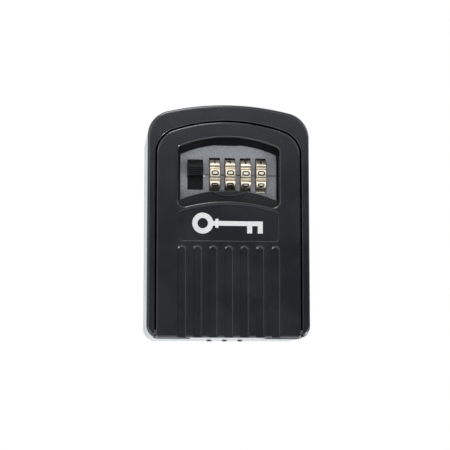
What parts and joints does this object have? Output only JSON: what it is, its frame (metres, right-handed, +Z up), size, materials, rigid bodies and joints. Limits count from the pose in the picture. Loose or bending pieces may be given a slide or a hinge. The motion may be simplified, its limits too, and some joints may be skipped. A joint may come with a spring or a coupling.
{
  "type": "key lock box",
  "caption": "Wall-mounted key safe: bottom-hinged door with number wheels, a slide-down release button, a sliding dial shutter and a key hook inside.",
  "frame": {"origin": "centre of the back face, in the wall plane, at the centre of the four screw holes", "axes": "+X to the viewer's right, -Y out of the wall towards the viewer (+Y into the wall), +Z up"},
  "size_m": [0.084, 0.04, 0.1218],
  "materials": {
    "casing_paint": "satin black powder coat on a die casting",
    "door_paint": "satin black powder coat on a die casting",
    "fascia_grey": "speckled grey lacquer",
    "black_plastic": "fine moulded texture",
    "button_plastic": "moulded, slightly worn thumb ridges",
    "wheel_brass": "machined brass, lightly tarnished",
    "cam_brass": "machined brass",
    "plain_steel": "zinc plated steel",
    "spring_steel": "spring steel",
    "emblem_silver": "satin silver",
    "marker_white": "white paint dot"
  },
  "bodies": {
    "casing": {"rear_casing": "casing_paint", "hinge_pin": "plain_steel", "key_hook": "plain_steel"},
    "door": {"door_shell": "door_paint", "key_emblem": "emblem_silver", "dial_fascia": "fascia_grey", "index_marker": "marker_white", "mechanism_housing": "black_plastic", "mechanism_cover": "black_plastic", "wheel_separators": "black_plastic", "detent_spring": "spring_steel", "shutter_retainer": "plain_steel", "latch_spring": "spring_steel", "housing_screws": "plain_steel", "retainer_screws": "plain_steel", "cover_screws": "plain_steel"},
    "shutter": {"dial_shutter": "black_plastic"},
    "latch": {"release_button": "button_plastic", "latch_plate": "plain_steel", "fence_comb": "plain_steel", "latch_rivets": "plain_steel"},
    "cam_carriage": {"cam_shaft": "plain_steel", "shaft_collars": "plain_steel", "reset_lever": "plain_steel"},
    "wheel_1": {"number_wheel_1": "wheel_brass"},
    "cam_1": {"code_cam_1": "cam_brass"},
    "wheel_2": {"number_wheel_2": "wheel_brass"},
    "cam_2": {"code_cam_2": "cam_brass"},
    "wheel_3": {"number_wheel_3": "wheel_brass"},
    "cam_3": {"code_cam_3": "cam_brass"},
    "wheel_4": {"number_wheel_4": "wheel_brass"},
    "cam_4": {"code_cam_4": "cam_brass"}
  },
  "joints": [
    {"name": "door_hinge", "type": "hinge", "parent": "casing", "child": "door", "pos_m": [0, -0.037, -0.0571], "axis": [1, 0, 0], "range_deg": [0, 100]},
    {"name": "shutter_slide", "type": "slide", "parent": "door", "child": "shutter", "axis": [0, 0, 1], "range_m": [0, 0.027]},
    {"name": "release_slide", "type": "slide", "parent": "door", "child": "latch", "axis": [0, 0, -1], "range_m": [0, 0.0055], "stiffness_N_per_m": 200, "springref_m": -0.004, "deforming": ["latch_spring"]},
    {"name": "reset_slide", "type": "slide", "parent": "door", "child": "cam_carriage", "axis": [1, 0, 0], "range_m": [0, 0.0014]},
    {"name": "wheel_1_spin", "type": "hinge", "parent": "door", "child": "wheel_1", "pos_m": [-0.0068, -0.0259, 0.0246], "axis": [1, 0, 0], "continuous": true},
    {"name": "wheel_2_spin", "type": "hinge", "parent": "door", "child": "wheel_2", "pos_m": [0.00126, -0.0259, 0.0246], "axis": [1, 0, 0], "continuous": true},
    {"name": "wheel_3_spin", "type": "hinge", "parent": "door", "child": "wheel_3", "pos_m": [0.00932, -0.0259, 0.0246], "axis": [1, 0, 0], "continuous": true},
    {"name": "wheel_4_spin", "type": "hinge", "parent": "door", "child": "wheel_4", "pos_m": [0.01738, -0.0259, 0.0246], "axis": [1, 0, 0], "continuous": true},
    {"name": "cam_1_spin", "type": "hinge", "parent": "cam_carriage", "child": "cam_1", "pos_m": [-0.0068, -0.0259, 0.0246], "axis": [1, 0, 0], "continuous": true},
    {"name": "cam_2_spin", "type": "hinge", "parent": "cam_carriage", "child": "cam_2", "pos_m": [0.00126, -0.0259, 0.0246], "axis": [1, 0, 0], "continuous": true},
    {"name": "cam_3_spin", "type": "hinge", "parent": "cam_carriage", "child": "cam_3", "pos_m": [0.00932, -0.0259, 0.0246], "axis": [1, 0, 0], "continuous": true},
    {"name": "cam_4_spin", "type": "hinge", "parent": "cam_carriage", "child": "cam_4", "pos_m": [0.01738, -0.0259, 0.0246], "axis": [1, 0, 0], "continuous": true}
  ],
  "couplings": [
    {"joint": "cam_1_spin", "follows": "wheel_1_spin", "ratio": 1},
    {"joint": "cam_2_spin", "follows": "wheel_2_spin", "ratio": 1},
    {"joint": "cam_3_spin", "follows": "wheel_3_spin", "ratio": 1},
    {"joint": "cam_4_spin", "follows": "wheel_4_spin", "ratio": 1}
  ]
}
